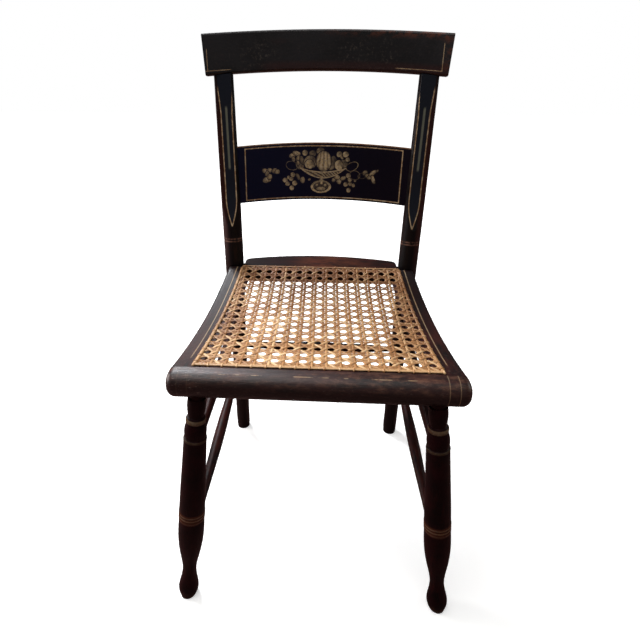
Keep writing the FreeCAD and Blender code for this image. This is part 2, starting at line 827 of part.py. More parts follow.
def build():
    pieces = {
        "back_post_left": back_post(-1),
        "back_post_right": back_post(1),
        "crest_rail": crest_rail(),
        "crest_pegs": lean(Part.makeCompound([crest_peg(-1, 0), crest_peg(1, 0)])),
        "back_slat": back_slat(),
        "slat_pins": lean(slat_pin_group(0)),
        "seat_roll": seat_roll(),
        "seat_front_rail": seat_front_rail(),
        "seat_side_rail_left": seat_side_rail(-1),
        "seat_side_rail_right": seat_side_rail(1),
        "seat_rear_rail": seat_rear_rail(),
        "seat_dowels": seat_dowels(0),
        "cane_panel": cane_panel(),
        "cane_binder_front": cross_binder(front_holes_y),
        "cane_binder_rear": cross_binder(rear_holes_y),
        "cane_binder_left": side_binder(-1),
        "cane_binder_right": side_binder(1),
        "cane_pegs": cane_pegs(),
        "front_leg_left": front_leg(-1),
        "front_leg_right": front_leg(1),
    }
    for name, (start, end) in stretcher_ends().items():
        if name == "rear_stretcher":
            pieces[name] = stretcher(start, end, rear_stretcher_diameter, rear_stretcher_shares)
        else:
            pieces[name] = stretcher(start, end, side_stretcher_diameter, side_stretcher_shares)
    return pieces


def main():
    # Centre the chair front to back over the origin and write each piece
    os.makedirs("parts", exist_ok=True)
    pieces = build()
    boxes = [shape.optimalBoundingBox() for shape in pieces.values()]
    middle_y = (min(box.YMin for box in boxes) + max(box.YMax for box in boxes)) / 2
    for name, shape in pieces.items():
        shape.translate(vec(0, -middle_y, 0))
        shape.exportStep("parts/" + name + ".step")
        print(name, len(shape.Solids), round(shape.Volume), shape.isValid())
    print("depth from the roll's front to the centre", round(middle_y, 3))


main()
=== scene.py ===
import math
import random

import bmesh
import bpy
from mathutils import Matrix, Vector


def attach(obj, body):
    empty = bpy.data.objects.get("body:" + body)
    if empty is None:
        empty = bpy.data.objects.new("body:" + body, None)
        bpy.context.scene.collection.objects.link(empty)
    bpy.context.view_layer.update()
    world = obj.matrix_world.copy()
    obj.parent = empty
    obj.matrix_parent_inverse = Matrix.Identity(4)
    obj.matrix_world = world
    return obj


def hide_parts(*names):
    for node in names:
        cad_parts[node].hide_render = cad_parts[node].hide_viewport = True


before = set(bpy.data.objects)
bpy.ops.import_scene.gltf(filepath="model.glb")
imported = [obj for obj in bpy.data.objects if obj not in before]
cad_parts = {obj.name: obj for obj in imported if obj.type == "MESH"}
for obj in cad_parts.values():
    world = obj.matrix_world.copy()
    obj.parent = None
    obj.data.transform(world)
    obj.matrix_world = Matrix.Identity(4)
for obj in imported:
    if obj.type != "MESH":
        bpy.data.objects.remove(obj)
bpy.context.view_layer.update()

random.seed(7)
mm = 0.001

# how far the frame's middle lies behind the front of the seat, in mm
middleDepth = 219.198


def tint(red, green, blue):
    # a colour as a screen shows it, 0 to 255, made linear
    parts = [part / 255 for part in (red, green, blue)]
    linear = [p / 12.92 if p <= 0.04045 else ((p + 0.055) / 1.055) ** 2.4 for p in parts]
    return (*linear, 1.0)


class Val:
    # one socket of a node, so that Python's own signs add Math nodes
    def __init__(self, shade, socket):
        self.shade = shade
        self.socket = socket

    def math(self, operation, *others):
        return self.shade.add("ShaderNodeMath", {"operation": operation}, [self, *others])

    def __add__(self, other):
        return self.math("ADD", other)

    def __sub__(self, other):
        return self.math("SUBTRACT", other)

    def __rsub__(self, other):
        return self.shade.add("ShaderNodeMath", {"operation": "SUBTRACT"}, [other, self])

    def __mul__(self, other):
        return self.math("MULTIPLY", other)

    def __truediv__(self, other):
        return self.math("DIVIDE", other)

    def __abs__(self):
        return self.math("ABSOLUTE")

    __radd__ = __add__
    __rmul__ = __mul__

    def atLeast(self, other):
        return self.math("MAXIMUM", other)

    def atMost(self, other):
        return self.math("MINIMUM", other)

    def ramp(self, low, high, start, end):
        sockets = {"Value": self, "From Min": low, "From Max": high, "To Min": start, "To Max": end}
        return self.shade.add("ShaderNodeMapRange", {"interpolation_type": "SMOOTHSTEP"}, sockets)

    def rise(self, low, high):
        # 0 below low, 1 above high, and smooth between
        return self.ramp(low, high, 0, 1)

    def fall(self, low, high):
        # 1 below low and 0 above high
        return self.ramp(low, high, 1, 0)

    def band(self, middle, half, soft):
        # 1 within half of the middle
        return abs(self - middle).fall(half - soft, half + soft)


class Shade:
    # the nodes of one material, or of the world
    def __init__(self, owner, **uniform):
        owner.use_nodes = True
        self.owner = owner
        self.tree = owner.node_tree
        self.tree.nodes.clear()
        self.uniform = uniform

    def add(self, kind, settings=None, sockets=(), out=0):
        # any node: its settings first, then values or links for its sockets
        node = self.tree.nodes.new(kind)
        for name, value in (settings or {}).items():
            setattr(node, name, value)
        pairs = sockets.items() if isinstance(sockets, dict) else enumerate(sockets)
        for name, value in pairs:
            if isinstance(value, Val):
                self.tree.links.new(value.socket, node.inputs[name])
            elif value is not None:
                node.inputs[name].default_value = value
        return Val(self, node.outputs[out] if node.outputs else None)

    def vector(self, operation, *parts, out="Vector"):
        return self.add("ShaderNodeVectorMath", {"operation": operation}, parts, out)

    def place(self):
        # object coordinates in millimetres
        spot = self.add("ShaderNodeTexCoord", out="Object")
        return self.vector("MULTIPLY", spot, (1000, 1000, 1000))

    def part(self, spot, letter):
        return self.add("ShaderNodeSeparateXYZ", None, [spot], letter)

    def along(self, spot, direction, start=0.0):
        # distance along a direction
        distance = self.vector("DOT_PRODUCT", spot, direction, out="Value")
        return distance - start if start else distance

    def facing(self, direction):
        # 1 on faces turned towards a direction
        normal = self.add("ShaderNodeNewGeometry", out="Normal")
        return self.vector("DOT_PRODUCT", normal, direction, out="Value").rise(0.25, 0.45)

    def flat(self, across, up):
        return self.add("ShaderNodeCombineXYZ", None, [across, up, 0.0])

    def mix(self, factor, first, second):
        # two colours
        settings = {"data_type": "RGBA"}
        return self.add("ShaderNodeMix", settings, {0: factor, 6: first, 7: second}, 2)

    def noise(self, spot, scale, detail=2.0, rough=0.5, stretch=(1, 1, 1), out="Fac"):
        stretched = self.vector("MULTIPLY", spot, stretch)
        return self.add("ShaderNodeTexNoise", None, {"Vector": stretched, "Scale": scale,
                        "Detail": detail, "Roughness": rough}, out)

    def finish(self, colour, rough, relief, depth):
        # the principled shader and the material's output
        normal = self.add("ShaderNodeBump", None, {"Height": relief, "Distance": depth,
                          "Strength": 1.0})
        shader = self.add("ShaderNodeBsdfPrincipled", None, {"Base Color": colour,
                          "Roughness": rough, "Normal": normal, **self.uniform})
        self.add("ShaderNodeOutputMaterial", None, [shader])
        return self.owner


# the old paint: a red ground showing through a black graining coat
paint = {
    "black": tint(10, 4, 5),
    "deepRed": tint(52, 18, 14),
    "wornRed": tint(98, 52, 34),
    "bareWood": tint(126, 88, 58),
    "gold": tint(226, 200, 162),
    "oldGold": tint(170, 136, 100),
    "roughness": 0.38,
    "specular": 0.30,
    "dullSpecular": 0.12,
    "relief": 0.00012,
}

grainStretch = {"x": (0.06, 1, 1), "y": (1, 0.06, 1), "z": (1, 1, 0.06)}
pitStretch = {"x": (0.45, 1, 1), "y": (1, 0.45, 1), "z": (1, 1, 0.45)}


def paintedShade(name, specular=paint["specular"]):
    return Shade(bpy.data.materials.new(name), **{"Specular IOR Level": specular})


def ground(shade, spot, axis, warmth, wear):
    # colour, roughness and relief of the grained paint; axis is the way of the grain
    streaks = shade.noise(spot, 0.16, 4, 0.6, grainStretch[axis])
    clouds = shade.noise(spot, 0.018, 3, 0.55)
    fine = shade.noise(spot, 0.7, 3, 0.6, grainStretch[axis])
    red = streaks * 0.7 + clouds * 0.6 + fine * 0.2
    red = red.rise(0.92 - 0.35 * warmth, 1.25 - 0.35 * warmth)
    colour = shade.mix(red * 0.9, paint["black"], paint["deepRed"])
    rubbed = shade.noise(spot, 0.05, 5, 0.7) * 0.7 + fine * 0.3
    rubbed = rubbed.rise(0.68 - 0.12 * wear, 0.78)
    colour = shade.mix(rubbed * (0.35 + wear * 0.4), colour, paint["wornRed"])
    rough = paint["roughness"] + clouds * 0.12 + rubbed * 0.15
    stretched = shade.vector("MULTIPLY", spot, grainStretch[axis])
    crackle = shade.add("ShaderNodeTexVoronoi", {"feature": "DISTANCE_TO_EDGE"},
                        {"Vector": stretched, "Scale": 0.32}, "Distance")
    pitted = shade.noise(spot, 0.28, 3, 0.6, pitStretch[axis])
    relief = fine * 0.4 + streaks * 0.4 + crackle.rise(0, 0.09) * 0.15 + pitted * 0.8
    return colour, rough, relief


def gild(shade, spot, colour, rough, mask, worn):
    # gold paint over the ground where the mask is 1, rubbed thin in places
    patches = shade.noise(spot, 0.12, 4, 0.65)
    thin = patches.rise(0.36 + worn * 0.3, 0.18 + worn * 0.3)
    kept = mask * (1 - (1 - thin) * worn)
    tone = shade.mix(patches.rise(0.4, 0.62), paint["oldGold"], paint["gold"])
    return shade.mix(kept, colour, tone), rough - kept * 0.06, kept


def plainPaint(name, axis, warmth, wear):
    shade = paintedShade(name, paint["dullSpecular"])
    colour, rough, relief = ground(shade, shade.place(), axis, warmth, wear)
    return shade.finish(colour, rough, relief, paint["relief"])


# the front legs, with gilded rings at the middle and under the seat
legs = {
    "foot": Vector((215.0, -26.5 - middleDepth, 0.0)),
    "top": Vector((164.5, 13.0 - middleDepth, 409.0)),
    # middle and half height as shares of the leg, then strength
    "rings": [
        (0.4562, 0.0026, 0.22), (0.4707, 0.0034, 0.5), (0.4852, 0.0032, 0.45),
        (0.8330, 0.0045, 0.14), (0.9130, 0.0080, 0.42),
    ],
    "ringSoft": 0.0012,
    # the worn band round the middle rings: middle, half height and strength
    "wornBand": (0.471, 0.024, 0.4),
    "wornFoot": 0.05,
    "red": tint(42, 8, 12),
    "redness": 0.65,
    "specular": 0.09,
}


def legPaint():
    shade = paintedShade("legPaint", legs["specular"])
    spot = shade.place()
    colour, rough, relief = ground(shade, spot, "z", 0.5, 0.2)
    reddened = shade.noise(spot, 0.03, 4, 0.6).rise(0.25, 0.75) * legs["redness"]
    colour = shade.mix(reddened, colour, legs["red"])
    mirrored = shade.vector("ABSOLUTE", spot)
    height = legs["top"] - legs["foot"]
    # y is negative on the whole leg, so its size is taken the other way round
    axis = Vector((height.x, -height.y, height.z)).normalized()
    foot = Vector((legs["foot"].x, -legs["foot"].y, legs["foot"].z))
    share = shade.along(mirrored, axis[:], foot.dot(axis)) / height.length
    rings = 0.0
    for middle, half, strength in legs["rings"]:
        rings = share.band(middle, half, legs["ringSoft"]) * strength + rings
    colour, rough, kept = gild(shade, spot, colour, rough, rings, 0.5)
    middle, half, strength = legs["wornBand"]
    dull = share.band(middle, half, 0.004) * strength
    colour = shade.mix(dull * (1 - kept), colour, paint["wornRed"])
    scuffs = shade.noise(spot, 0.12, 4, 0.6).rise(0.42, 0.6)
    scuffs = share.fall(0.004, legs["wornFoot"]) * scuffs
    colour = shade.mix(scuffs * 0.5, colour, paint["bareWood"])
    return shade.finish(colour, rough, relief, paint["relief"])


# the back posts, with a gilded tongue on the planed face and rings over the seat
posts = {
    # place of the posts' middle where they bend, and how they spread above it
    "spacing": 176.0,
    "spread": 4.5 / 347.4,
    "y": 393.0 - middleDepth,
    "bend": 452.0,
    "rake": math.radians(7.5),
    # depths between which the planed face ends, and the rings end at the back
    "faceEdge": (-9.4, -8.6),
    "ringEdge": (6, 9),
    # the tongue's middle lies nearer the chair's than the post's does
    "inward": 3.0,
    # heights on the post and half widths in mm
    "tip": 72.5,
    "rounding": 52.0,
    "widthHalf": 10.0,
    "flare": (270, 330),
    "flareWidth": 3.5,
    "outlineHalf": 0.95,
    "outlineEnd": (308, 322),
    "stripeMiddle": 233,
    "stripeLength": 53,
    "stripeHalf": 2.0,
    # middle height and half width of the two rings over the seat
    "rings": [(42.5, 1.4), (47.5, 1.6)],
    "tongue": tint(22, 27, 38),
    "stripe": tint(112, 114, 100),
    "ring": tint(126, 92, 78),
    "specular": 0.22,
}


def fromBend(shade, spot, y, z):
    # distance from the posts' bend in a direction of the side view
    direction = Vector((0, y, z))
    bend = Vector((0, posts["y"], posts["bend"]))
    return shade.along(spot, direction[:], bend.dot(direction))


def alongPost(shade, spot):
    return fromBend(shade, spot, math.sin(posts["rake"]), math.cos(posts["rake"]))


def behindPost(shade, spot):
    return fromBend(shade, spot, math.cos(posts["rake"]), -math.sin(posts["rake"]))


def postPaint():
    shade = paintedShade("postPaint", posts["specular"])
    spot = shade.place()
    colour, rough, relief = ground(shade, spot, "z", 0.4, 0.25)
    along, depth = alongPost(shade, spot), behindPost(shade, spot)
    spacing = along.atLeast(0.0) * posts["spread"] + posts["spacing"] - posts["inward"]
    outward = abs(shade.part(spot, "X")) - spacing
    across = abs(outward)
    front = depth.fall(*posts["faceEdge"])
    # the tongue starts from a point, swells to its width and spreads again at the top
    swell = ((along - posts["tip"]) / posts["rounding"]).atLeast(0.0).atMost(1.0)
    half = (swell * (math.pi / 2)).math("SINE") * posts["widthHalf"]
    half = half + along.rise(*posts["flare"]) * posts["flareWidth"]
    started = along.rise(posts["tip"] - 0.5, posts["tip"] + 1.0)
    inside = (across - half).fall(-0.5, 0.5) * front * started
    # the outer side of the post is worn red, and the tongue keeps its own colour
    reddish = along.band(160, 150, 60) * outward.rise(6, 13) * 0.75 * (1 - inside)
    colour = shade.mix(reddish, colour, paint["deepRed"])
    colour = shade.mix(inside * 0.88, colour, posts["tongue"])
    stripe = across.band(0, posts["stripeHalf"], 0.8) * front
    stripe = along.band(posts["stripeMiddle"], posts["stripeLength"], 3) * stripe
    colour = shade.mix(stripe * 0.9, colour, posts["stripe"])
    faded = shade.noise(spot, 0.14, 3, 0.6).rise(0.3, 0.62)
    lower, upper = [along.band(middle, width, 0.6) for middle, width in posts["rings"]]
    rings = lower.atLeast(upper) * depth.fall(*posts["ringEdge"])
    colour = shade.mix(rings * faded * 0.75, colour, posts["ring"])
    outline = (across - half).band(0, posts["outlineHalf"], 0.35)
    outline = outline * front * started * along.fall(*posts["outlineEnd"])
    colour, rough, kept = gild(shade, spot, colour, rough, outline, 0.25)
    return shade.finish(colour, rough, relief + kept * 0.3, paint["relief"])


# the crest rail, its old picture lost and its gilt lines left only at the ends
crest = {
    "arch": 12.0,
    "halfWidth": 211.0,
    # gilt lines, in mm across the chair and along the post
    "lineHalf": 0.6,
    "lineSoft": 0.3,
    "lowerLine": 341.5,
    "lowerGap": (-166, 122),  # the lower line is lost between these
    # the end lines: place across, then the middle and the half of their length
    "leftLine": (-204.5, 358, 17),
    "rightLine": (197.5, 362, 21),
    # the lost picture's remains: middle, half width and softness
    "remains": [(-118, 26, 14), (52, 30, 14), (106, 14, 8)],
    "grey": (tint(20, 18, 20), tint(34, 32, 35)),
    "smudge": tint(92, 84, 76),
    "relief": 0.00014,
}


def crestPaint():
    shade = paintedShade("crestPaint")
    spot = shade.place()
    colour, rough, relief = ground(shade, spot, "x", 0.4, 0.35)
    side = shade.part(spot, "X")
    share = side / crest["halfWidth"]
    # height on the post, less the arch, so that a level follows the rail's edges
    level = alongPost(shade, spot) - (1 - share * share) * crest["arch"]
    front = shade.facing((0, -1, 0))
    grey = shade.noise(spot, 0.02, 4, 0.6, (0.6, 1, 1)).rise(0.35, 0.65)
    colour = shade.mix(front * 0.75, colour, shade.mix(grey, *crest["grey"]))
    speckle = shade.noise(spot, 0.2, 4, 0.75).rise(0.52, 0.72) * level.fall(372, 398)
    worn = 0.0
    for middle, half, soft in crest["remains"]:
        worn = side.band(middle, half, soft).atLeast(worn)
    colour = shade.mix(speckle * (worn * 0.4 + 0.12) * front, colour, crest["smudge"])
    lowRed = level.fall(344, 354) * side.rise(-130, -90) * front * 0.5
    colour = shade.mix(lowRed, colour, paint["deepRed"])
    half, soft = crest["lineHalf"], crest["lineSoft"]
    gapStart, gapEnd = crest["lowerGap"]
    leftPiece = side.fall(gapStart - 2, gapStart + 2)
    rightPiece = side.rise(gapEnd - 2, gapEnd + 2) * side.fall(197, 199)
    lines = level.band(crest["lowerLine"], half, soft) * (leftPiece + rightPiece)
    for place, middle, length in (crest["leftLine"], crest["rightLine"]):
        lines = lines.atLeast(side.band(place, half, soft) * level.band(middle, length, 1))
    colour, rough, _ = gild(shade, spot, colour, rough, lines * front * 0.9, 0.45)
    rubbed = level.rise(384, 396) * side.rise(-60, 160) + side.rise(192, 212) * 0.7
    patches = shade.noise(spot, 0.09, 5, 0.75, (0.5, 1, 1)).rise(0.42, 0.62)
    colour = shade.mix(rubbed.atMost(1.0) * patches * 0.75, colour, paint["wornRed"])
    return shade.finish(colour, rough, relief, crest["relief"])


# the stencilled slat: a footed bowl of fruit between two sprigs, in a gilt line frame
slat = {
    "ground": tint(9, 13, 42),
    "groundRight": tint(12, 4, 15),
    # the slat's edges along the post, and how far they arch over this half width
    "low": 114.5,
    "high": 219.0,
    "lowArch": 6.5,
    "topArch": 8.0,
    "archHalf": 160.0,
    # the line frame: how far in from the lower and upper edges, then its half width
    "lowLine": 4.5,
    "highLine": 6.0,
    "frameHalf": 147.0,
    "lineHalf": 0.95,
    "lineSoft": 0.3,
    "bronze": tint(196, 168, 118),
    "silver": tint(184, 168, 144),
    "specular": 0.15,
    "relief": 0.0001,
}

# the stencil's shapes in mm across the slat and along the post
stencil = {
    # across, height, half width, half height, turn in degrees, strength
    "backFruit": [
        (-44, 188, 9, 11, 0, 0.35), (-20, 207, 7, 6, 0, 0.35), (18, 190, 8, 14, -14, 0.4),
        (-6, 212, 8, 6, 20, 0.5), (40, 189, 8, 8, 0, 0.35),
    ],
    "leaves": [
        (-59, 203, 7, 4.5, 20, 0.8), (-51, 207, 8, 4.5, -12, 0.9), (-48, 198, 3.5, 6.5, -20, 0.7),
        (-57, 196, 3.5, 5, 10, 0.6), (-41, 195, 4, 8, 15, 0.4), (-48, 189, 2.5, 5, 5, 0.7),
        (-48, 164, 3.5, 7, 30, 0.45), (-39, 158, 5, 6.5, 0, 0.65), (-26, 159, 3.2, 2.2, 20, 0.6),
        (22, 159, 4.5, 4, 30, 0.7), (32, 157, 5, 6.5, 10, 0.85), (40, 162, 6, 4, 25, 0.75),
        (28, 164, 6, 4.5, 0, 0.8), (-111, 175, 5.5, 4.5, -25, 0.85), (-103, 176, 5.5, 4.5, 25, 0.8),
        (-107, 169, 4, 6, 0, 0.7), (-93, 175, 6, 5, 10, 0.6), (-88, 173, 5, 4.5, 40, 0.7),
        (-108, 158, 8.5, 5.5, 12, 0.9), (-103, 164, 5, 6, -20, 0.75), (81, 173, 5, 4.5, 20, 0.5),
        (85, 168, 4.5, 4, -30, 0.5), (95, 172, 9.5, 3.8, 42, 0.8), (97, 161, 3.8, 8.5, 22, 0.85),
        (89, 164, 4, 3.5, 0, 0.6), (104, 177, 3, 2, 50, 0.35),
    ],
    "rounds": [
        (-35, 208, 5.5, 5.5, 0, 0.75), (31, 206, 5.6, 5.6, 0, 0.75), (43, 206, 5.8, 5.4, 0, 0.85),
        (36, 200, 3, 3, 0, 0.6), (47, 196.5, 4.2, 4, 0, 0.7), (-58, 168, 4.8, 4.6, 0, 0.7),
        (-73, 158, 4.6, 4.8, 0, 0.9), (-66, 163, 3.6, 3.6, 0, 0.7), (-61, 160, 4.2, 4.2, 0, 0.8),
        (-68, 151, 4.5, 4.6, 0, 0.9), (-54.5, 152, 5, 5, 0, 0.9), (-60, 143, 4.6, 4.8, 0, 0.9),
        (50, 167, 5, 4.8, 0, 0.7), (53, 160, 4.4, 4.2, 0, 0.7), (45, 151, 4.4, 4.4, 0, 0.75),
        (54, 152, 3.8, 4, 0, 0.6), (60, 149, 3.6, 3.8, 0, 0.7), (51.5, 140, 4.4, 4.4, 0, 0.85),
        (63, 158, 2.6, 2.6, 0, 0.5), (-25, 191, 13, 13, 0, 0.65), (-26, 187.5, 9.5, 9, -20, 0.95),
        (30.5, 186.5, 8, 10, 6, 0.95),
    ],
    # rings: the same sizes, then the line's share of the radius
    "rings": [
        (-60, 184.5, 11, 8, -18, 0.32, 0.09), (56, 184, 12, 7.5, 24, 0.48, 0.09),
        (62, 168, 10, 8, -20, 0.3, 0.08), (77, 168, 9, 5, 10, 0.22, 0.1),
    ],
    "footDabs": [(-3, 141.5, 10, 4.2, 0, 0.7), (-11, 148.5, 3.4, 3, 0, 0.9),
                 (5, 148.5, 3.2, 3, 0, 0.9)],
    # across, height, half width, half height
    "melon": (1.5, 193, 15.5, 19.5),
    "foot": (-3, 145.5, 20, 12),
    # the bowl's rim and bottom at its middle, and how much they rise 50 mm out
    "rim": (172.5, 9.0),
    "bottom": (161.0, 24.0),
    "stem": -2.0,
    "wobble": 2.4,
}


def inShape(shade, flat, x, height, halfWide, halfHigh, turn=0):
    # the place within a shape: its middle is 0 and its edge is at length 1
    if turn == 0:
        return shade.vector("MULTIPLY_ADD", flat, (1 / halfWide, 1 / halfHigh, 0),
                            (-x / halfWide, -height / halfHigh, 0))
    c, s = math.cos(math.radians(turn)), math.sin(math.radians(turn))
    wide, high = (c / halfWide, s / halfWide, 0), (-s / halfHigh, c / halfHigh, 0)
    middle = (x * wide[0] + height * wide[1], x * high[0] + height * high[1], 0)
    turned = shade.flat(shade.along(flat, wide), shade.along(flat, high))
    return shade.vector("SUBTRACT", turned, middle)


def stencilFruit(shade, flat, gold, shape, rounded):
    # a shape with a dark edge round it, shaded from one side as a dabbed powder is
    x, height, halfWide, halfHigh, turn, strength = shape
    local = inShape(shade, flat, x, height, halfWide, halfHigh, turn)
    radius = shade.vector("LENGTH", local, out="Value")
    soft = 0.5 / min(halfWide, halfHigh)
    if rounded:
        apart = shade.vector("DISTANCE", local, (0.6, 0.55, 0), out="Value")
        glow = apart.rise(0.1, 1.35) * (0.7 * strength) + 0.32 * strength
    else:
        apart = shade.vector("DISTANCE", local, (0.25, 0.3, 0), out="Value")
        glow = apart.fall(0.2, 1.3) * (0.55 * strength) + 0.4 * strength
    return gold * radius.rise(1.0, 1.0 + 2 * soft) + radius.fall(0.93 - soft, 0.93 + soft) * glow


def stencilRing(shade, flat, gold, shape):
    x, height, halfWide, halfHigh, turn, strength, line = shape
    local = inShape(shade, flat, x, height, halfWide, halfHigh, turn)
    radius = shade.vector("LENGTH", local, out="Value")
    return gold.atLeast(radius.band(1.0, line * 0.7, line * 0.4) * strength)


def stencilBowl(shade, flat, x, height, gold):
    # the ribbed melon, then the bowl in front of the fruit, its stem and its foot
    local = inShape(shade, flat, *stencil["melon"])
    radius = shade.vector("LENGTH", local, out="Value")
    ribs = (x - 3.0) / (1.25 - (height - 176.0) * 0.016)
    ribs = (ribs * 0.8).math("SINE") * 0.5 + 0.5
    melon = (ribs * 0.62 + 0.4) * radius.fall(0.6, 1.2) * 1.1
    gold = gold * radius.rise(0.99, 1.07) + radius.fall(0.92, 0.98) * melon
    out = (x / 50.0) * (x / 50.0)
    rim = height - stencil["rim"][0] - out * stencil["rim"][1]
    bottom = height - stencil["bottom"][0] - out * stencil["bottom"][1]
    inBowl = abs(x).fall(42, 47)
    body = rim.fall(-0.4, 0.4) * bottom.rise(-0.4, 0.4)
    gadroon = ((x + abs(x) * 0.3 + height * 1.4) * 0.75).math("SINE") * 0.5 + 0.5
    gold = gold * (1 - body) + body * (gadroon * 0.6 + 0.1)
    gold = gold.atLeast(rim.band(0.6, 1.0, 0.35) * inBowl * 0.95)
    gold = gold.atLeast(bottom.band(1.0, 0.8, 0.3) * body * 0.85)
    fromStem = abs(x - stencil["stem"])
    stem = fromStem.fall(1.6, 2.4) * height.band(158, 8, 0.6)
    knop = fromStem.fall(4.6, 5.4) * height.band(157, 1.6, 0.5)
    gold = gold.atLeast(stem.atLeast(knop) * 0.85)
    local = inShape(shade, flat, *stencil["foot"])
    radius = shade.vector("LENGTH", local, out="Value")
    edge = radius.band(0.88, 0.12, 0.03) * height.fall(146, 158).atLeast(0.55)
    gold = gold * radius.rise(0.98, 1.06).atLeast(stem) + radius.fall(0.93, 1.0) * 0.12
    gold = gold.atLeast(edge * 0.95)
    for shape in stencil["footDabs"]:
        gold = stencilFruit(shade, flat, gold, shape, False)
    return gold


def stencilGold(shade, x, height):
    # hand-cut edges: every shape's outline wanders a little
    straight = shade.flat(x, height)
    wander = shade.noise(straight, 0.11, 2, 0.6, out="Color")
    size = stencil["wobble"]
    shift = shade.vector("MULTIPLY_ADD", wander, (size, size, 0), (-size / 2, -size / 2, 0))
    flat = shade.vector("ADD", straight, shift)
    gold = x * 0.0
    for shape in stencil["rings"]:
        gold = stencilRing(shade, flat, gold, shape)
    for shape in stencil["backFruit"]:
        gold = stencilFruit(shade, flat, gold, shape, True)
    for shape in stencil["leaves"]:
        gold = stencilFruit(shade, flat, gold, shape, False)
    for shape in stencil["rounds"]:
        gold = stencilFruit(shade, flat, gold, shape, True)
    return stencilBowl(shade, flat, x, height, gold)


def slatPaint():
    shade = paintedShade("slatPaint", slat["specular"])
    spot = shade.place()
    along = alongPost(shade, spot)
    side = shade.part(spot, "X")
    colour, rough, relief = ground(shade, spot, "x", 0.35, 0.25)
    right = side.rise(-150, 150) * 0.8 + shade.noise(spot, 0.03, 4, 0.6) * 0.2
    face = shade.mix(right, slat["ground"], slat["groundRight"])
    front = shade.facing((0, -1, 0))
    colour = shade.mix(front * 0.88, colour, face)
    # how far in from the lower and the upper edge
    share = side / slat["archHalf"]
    arch = 1 - share * share
    low = along - slat["low"] - slat["lowArch"] * arch
    high = slat["high"] + slat["topArch"] * arch - along
    width, soft, lowLine, highLine = [slat[key] for key in
                                      ("lineHalf", "lineSoft", "lowLine", "highLine")]
    inner = abs(side).fall(slat["frameHalf"] - 0.5, slat["frameHalf"] + 0.5)
    lines = low.band(lowLine, width, soft).atLeast(high.band(highLine, width, soft)) * inner
    between = low.rise(lowLine - 1, lowLine) * high.rise(highLine - 1.5, highLine - 0.5)
    lines = lines.atLeast(abs(side).band(slat["frameHalf"], width, soft) * between) * front
    edge = high.fall(1.0, 3.0)
    colour = shade.mix(edge * 0.65, colour, paint["wornRed"])
    colour, rough, _ = gild(shade, spot, colour, rough, lines.atLeast(edge * 0.3), 0.3)
    picture = stencilGold(shade, side, along) * front
    speckle = shade.noise(spot, 0.5, 3, 0.7)
    powder = shade.mix(speckle.rise(0.35, 0.65), slat["silver"], slat["bronze"])
    dabbed = shade.noise(spot, 0.24, 4, 0.7).rise(0.3, 0.65)
    strength = (picture * (0.4 + dabbed * 0.8)).atMost(0.98)
    colour = shade.mix(strength, colour, powder)
    # the stencil has no relief, because a bump would work the whole picture out three times
    return shade.finish(colour, rough - strength * 0.05, relief, slat["relief"])


# the seat's rails and its rolled front
seat = {
    "frontHoles": 34.0 - middleDepth,
    "rearHoles": 374.0 - middleDepth,
    "frontHalf": 170.0,
    "rearHalf": 155.0,
    "stripeOffset": 11.5,  # from the holes to the stripe on the side rails
    "rollLine": 15.0 - middleDepth,
    "rollTop": (424, 446),
    "rollSpecular": 0.42,
    "hoops": (173.0, 187.0),
    "lineHalf": 0.6,
    "lineSoft": 0.3,
    "relief": 0.0003,
    "rollRelief": 0.00035,
    # the roll's lighter top: dust, with a painted sheen
    "dustAndSheenTone": tint(116, 78, 60),
    # pale of the scratches and of the painted glints among them
    "fleck": tint(176, 158, 146),
}


def flecks(shade, spot, colour, strength):
    # small scratches that show pale, and painted glints where they crowd
    scratchesAndGlints = shade.noise(spot, 0.5, 4, 0.7, (0.35, 1, 1)).rise(0.58, 0.72)
    return shade.mix(scratchesAndGlints * strength, colour, seat["fleck"])


def railPaint():
    shade = paintedShade("railPaint")
    spot = shade.place()
    colour, rough, relief = ground(shade, spot, "y", 1.1, 0.6)
    y = shade.part(spot, "Y")
    slope = (seat["rearHalf"] - seat["frontHalf"]) / (seat["rearHoles"] - seat["frontHoles"])
    offset = abs(shade.part(spot, "X")) - (y - seat["frontHoles"]) * slope - seat["frontHalf"]
    stripe = offset.band(seat["stripeOffset"], 0.8, 0.3) * y.band(0, 160, 6)
    colour = shade.mix(y.rise(-90, 110) * 0.75, colour, paint["black"])
    # pale flecks at the front of the rails: scratches and painted glints
    colour = flecks(shade, spot, colour, y.fall(-190, -60) * 0.3)
    colour, rough, _ = gild(shade, spot, colour, rough, stripe * 0.85, 0.6)
    return shade.finish(colour, rough, relief, seat["relief"])


